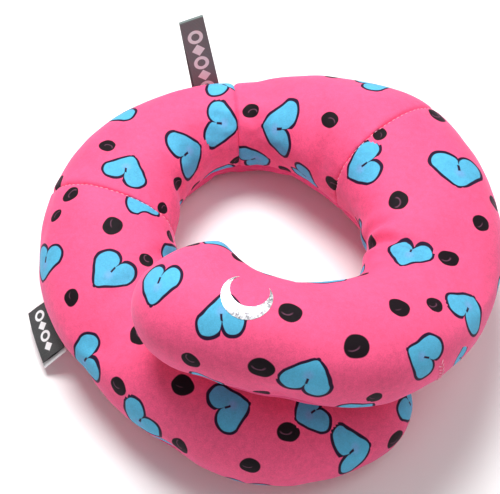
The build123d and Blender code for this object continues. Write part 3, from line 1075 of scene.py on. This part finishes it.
def makeMoon():
    low, high = (np.array(corner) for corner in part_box("foil_moon"))
    middle = (low + high) / 2
    big, small, bite = foilMoon["outer"], foilMoon["inner"], foilMoon["bite"]
    # where the two circles meet gives the horns
    meet = (big ** 2 - small ** 2 + bite ** 2) / (2 * bite)
    horn = math.acos(np.clip(meet / big, -1, 1))
    points = readPoints(frame["nodes"]["foil_moon"].data)
    lean = points.mean(axis=0) - middle
    facingAngle = math.atan2(lean[1], lean[0])

    def shape(t, s):
        t = 0.012 + 0.976 * t
        sweep = math.pi + (t - 0.5) * 2 * (math.pi - horn)
        outer = np.array([math.cos(sweep), math.sin(sweep)]) * big
        tipX, tipY = meet, math.sqrt(max(big ** 2 - meet ** 2, 0))
        innerHorn = math.atan2(tipY, tipX - bite)
        innerSweep = math.pi + (t - 0.5) * 2 * (math.pi - innerHorn)
        innerPoint = np.array([bite + math.cos(innerSweep) * small, math.sin(innerSweep) * small])
        spot = outer * (1 - s) + innerPoint * s
        turn = facingAngle - math.pi
        x = spot[0] * math.cos(turn) - spot[1] * math.sin(turn)
        y = spot[0] * math.sin(turn) + spot[1] * math.cos(turn)
        return onCover(moonCentre[0] + x * mm, moonCentre[1] + y * mm, 0.14 * mm)

    # the big circle's middle, from where the CAD moon reaches furthest
    away = np.array([math.cos(facingAngle), math.sin(facingAngle)])
    furthest = float((points[:, :2] @ away).max())
    sideways = np.array([-away[1], away[0]])
    across = points[:, :2] @ sideways
    moonCentre = away * (furthest - big * mm) + sideways * float(across.max() + across.min()) / 2
    piece = gridSheet("foilMoon", 72, 8, shape, lambda t, s: (t * 40, s * 6))
    thicken(piece, foilMoon["thick"] * mm)
    material, w, shader = newMaterial("silverFoil")
    place = w.add("ShaderNodeTexCoord").outputs["Object"]
    cells = w.add("ShaderNodeTexVoronoi")
    w.feed(cells.inputs["Vector"], place)
    cells.inputs["Scale"].default_value = 1300
    glint = w.split(cells.outputs["Color"])[0]
    crack = w.speckle(place, 900.0, 4.0, 0.7).outputs[0]
    silver = w.mix(glint, paint(168, 168, 174), paint(236, 236, 240))
    w.feed(shader["Base Color"], w.mix(w.mask(crack, 0.36, 0.44), silver, paint(150, 128, 142)))
    w.feed(shader["Roughness"], w.maths("MULTIPLY_ADD", glint, 0.3, 0.28))
    w.feed(shader["Normal"], bumped(w, w.plus(glint, crack), 0.12 * mm, 0.6))
    shader["Metallic"].default_value = 0.85
    piece.data.materials.append(material)
    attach(piece, "right_tip")
    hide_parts("foil_moon")
    return piece


stitches = dict(thick=0.45, long=2.0, pitch=3.0, closingLevels=(5.5, 22.5), closingCount=13)


def oneStitch(name, size, thick):
    bpy.ops.object.select_all(action="DESELECT")
    bpy.ops.mesh.primitive_uv_sphere_add(segments=8, ring_count=6, radius=0.5)
    piece = bpy.context.active_object
    piece.name = name
    bpy.ops.transform.resize(value=(size * mm, thick * mm, thick * mm))
    bpy.ops.object.transform_apply(location=True, rotation=True, scale=True)
    return piece


def stitchRow(name, places, size, thick, material, body):
    # places are (point, along, up); one stitch is modelled, then copied along the row
    model = oneStitch(name, size, thick)
    copies = []
    for point, along, up in places:
        along = Vector(along).normalized()
        side = Vector(up).cross(along).normalized()
        lift = along.cross(side)
        stitch = model.copy()
        stitch.data = model.data.copy()
        bpy.context.collection.objects.link(stitch)
        turn = Matrix((along, side, lift)).transposed().to_4x4()
        stitch.data.transform(Matrix.Translation(Vector(point)) @ turn)
        copies.append(stitch)
    bpy.data.objects.remove(model)
    bpy.ops.object.select_all(action="DESELECT")
    for stitch in copies:
        stitch.select_set(True)
    bpy.context.view_layer.objects.active = copies[0]
    bpy.ops.object.join()
    row = copies[0]
    row.name = name
    bpy.ops.object.shade_smooth()
    row.data.materials.append(material)
    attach(row, body)
    return row


def threadMaterial():
    material, w, shader = newMaterial("paleThread")
    place = w.add("ShaderNodeTexCoord").outputs["Object"]
    twist = w.add("ShaderNodeTexWave", wave_type="BANDS", bands_direction="DIAGONAL")
    w.feed(twist.inputs["Vector"], place)
    twist.inputs["Scale"].default_value = 900
    strand = w.split(twist.outputs["Color"])[0]
    w.feed(shader["Base Color"], w.mix(strand, paint(255, 160, 192), paint(255, 200, 216)))
    w.feed(shader["Normal"], bumped(w, strand, 0.1 * mm, 0.6))
    w.feed(shader["Roughness"], w.maths("MULTIPLY_ADD", strand, 0.15, 0.5))
    return material


def seamStitches(wrap, name, body, material):
    # short stitches that show along the seam, over the top of the tube
    side = -1 if wrap < 0 else 1
    turn = math.radians(abs(wrap) + 0.45)
    radial = Vector((side * math.sin(turn), math.cos(turn), 0))
    centre, height, _, _ = sectionAt(wrap)
    middle = radial * centre * mm + Vector((0, 0, height * mm))
    places, last = [], None
    for step in range(400):
        angle = math.radians(cover["seamLow"] + 6 + step * (213 / 400))
        ray = (radial * math.cos(angle) + Vector((0, 0, math.sin(angle)))).normalized()
        hit, normal, _, _ = coverTree.ray_cast(middle + ray * 0.06, -ray)
        if hit is None:
            continue
        if last is not None and (hit - last).length >= stitches["pitch"] * mm:
            along = (hit - last).normalized()
            places.append((hit + normal * 0.08 * mm, along, normal))
            last = hit
        elif last is None:
            last = hit
    return stitchRow(name, places, stitches["long"], stitches["thick"] * 0.8, material, body)


def closingStitches(material):
    low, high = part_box("closing_stitch")
    middle = (np.array(low) + np.array(high)) / 2
    turn = math.atan2(middle[0], middle[1])
    radial = Vector((math.sin(turn), math.cos(turn), 0))
    tangent = Vector((math.cos(turn), -math.sin(turn), 0))
    places = []
    # the row sits above its CAD node, where the closed slit shows
    for index, level in enumerate(np.linspace(*stitches["closingLevels"], stitches["closingCount"])):
        sideways = tangent * (1.1 if index % 2 else -1.1) * mm
        origin = radial * 0.22 + sideways + Vector((0, 0, middle[2] + level * mm))
        hit, normal, _, _ = coverTree.ray_cast(origin, -radial)
        if hit is None:
            continue
        slant = (Vector((0, 0, 1)) + tangent * (0.9 if index % 2 else -0.9)).normalized()
        along = (slant - normal * slant.dot(normal)).normalized()
        places.append((hit + normal * 0.25 * mm, along, normal))
    row = stitchRow("closingStitches", places, 3.0, stitches["thick"], material, "right_tip")
    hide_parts("closing_stitch")
    return row


makeHangLoop()
makeLabels()
makeMoon()
thread = threadMaterial()
closingStitches(thread)
seamStitches(-cover["leftSeam"], "leftSeamStitches", "left_arm", thread)
seamStitches(cover["rightSeam"], "rightSeamStitches", "right_arm", thread)
print("trims made")

# Floor, light and camera

studio = dict(azimuth=-5.0, elevation=57.0, distance=0.867, lens=108.8, aim=(0, 0, 0.045))


def makeStudio():
    bpy.ops.object.select_all(action="DESELECT")
    bpy.ops.mesh.primitive_plane_add(size=6, location=(0, 0, 0))
    floor = bpy.context.active_object
    floor.name = "floor"
    material, w, shader = newMaterial("paleFloor")
    shader["Base Color"].default_value = (0.97, 0.98, 0.98, 1)
    shader["Roughness"].default_value = 0.9
    floor.data.materials.append(material)

    world = bpy.data.worlds.new("softRoom")
    bpy.context.scene.world = world
    world.use_nodes = True
    world.node_tree.nodes["Background"].inputs["Color"].default_value = (1, 1, 1, 1)
    world.node_tree.nodes["Background"].inputs["Strength"].default_value = 0.27
    for place, size, power in (
        ((-0.15, 0.5, 1.2), 0.6, 20),
        ((-0.1, -0.9, 0.9), 0.7, 1),
        ((0.6, -0.1, 1.2), 0.8, 3),
    ):
        lamp = bpy.data.lights.new("softbox", "AREA")
        lamp.energy = power
        lamp.size = size
        box = bpy.data.objects.new("softbox", lamp)
        box.location = place
        box.rotation_euler = (Vector((0, 0, 0.05)) - Vector(place)).to_track_quat("-Z", "Y").to_euler()
        bpy.context.collection.objects.link(box)

    lens = bpy.data.cameras.new("camera")
    lens.lens = studio["lens"]
    lens.sensor_width = 36
    lens.clip_start = 0.01
    camera = bpy.data.objects.new("camera", lens)
    az, el = math.radians(studio["azimuth"]), math.radians(studio["elevation"])
    aim = Vector(studio["aim"])
    toward = Vector((math.sin(az) * math.cos(el), -math.cos(az) * math.cos(el), math.sin(el)))
    camera.location = aim + studio["distance"] * toward
    camera.rotation_euler = (aim - camera.location).to_track_quat("-Z", "Y").to_euler()
    bpy.context.collection.objects.link(camera)
    bpy.context.scene.camera = camera
    bpy.context.scene.view_settings.view_transform = "Standard"


makeStudio()
